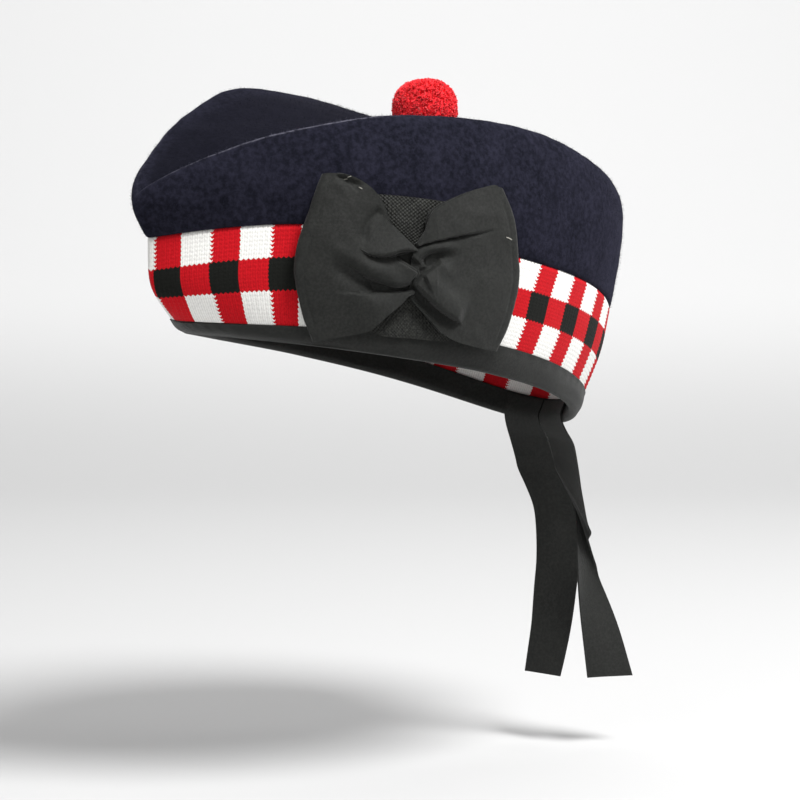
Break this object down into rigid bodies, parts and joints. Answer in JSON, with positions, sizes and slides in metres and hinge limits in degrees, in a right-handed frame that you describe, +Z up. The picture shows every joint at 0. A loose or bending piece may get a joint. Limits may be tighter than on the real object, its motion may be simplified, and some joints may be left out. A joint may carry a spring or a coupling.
{
  "type": "glengarry",
  "caption": "Boat-shaped wool cap with a lengthwise crease, diced band, ribbon-bound edge, side bow cockade, pompom on top and ribbon tails at the nape.",
  "frame": {"origin": "middle of the head opening at the level of the rim, where the cap sits on the head", "axes": "+Z up as worn, -Y to the front, +X to the wearer's left, where the cockade is"},
  "size_m": [0.1778, 0.2929, 0.3119],
  "materials": {
    "navy_felt": "milled navy wool felt, matt, slightly mottled and fuzzy",
    "diced_knit": "knitted wool in red, white and black checks",
    "black_ribbon": "charcoal black ribbon, soft sheen along the folds",
    "red_wool": "bright red wool pile, trimmed round"
  },
  "bodies": {
    "root": {"crown": "navy_felt", "diced_band": "diced_knit", "binding": "black_ribbon", "cockade_backing": "black_ribbon", "cockade_loop_front": "black_ribbon", "cockade_loop_back": "black_ribbon", "cockade_knot": "black_ribbon", "toorie": "red_wool", "tail_left": "black_ribbon", "tail_right": "black_ribbon"}
  },
  "joints": []
}
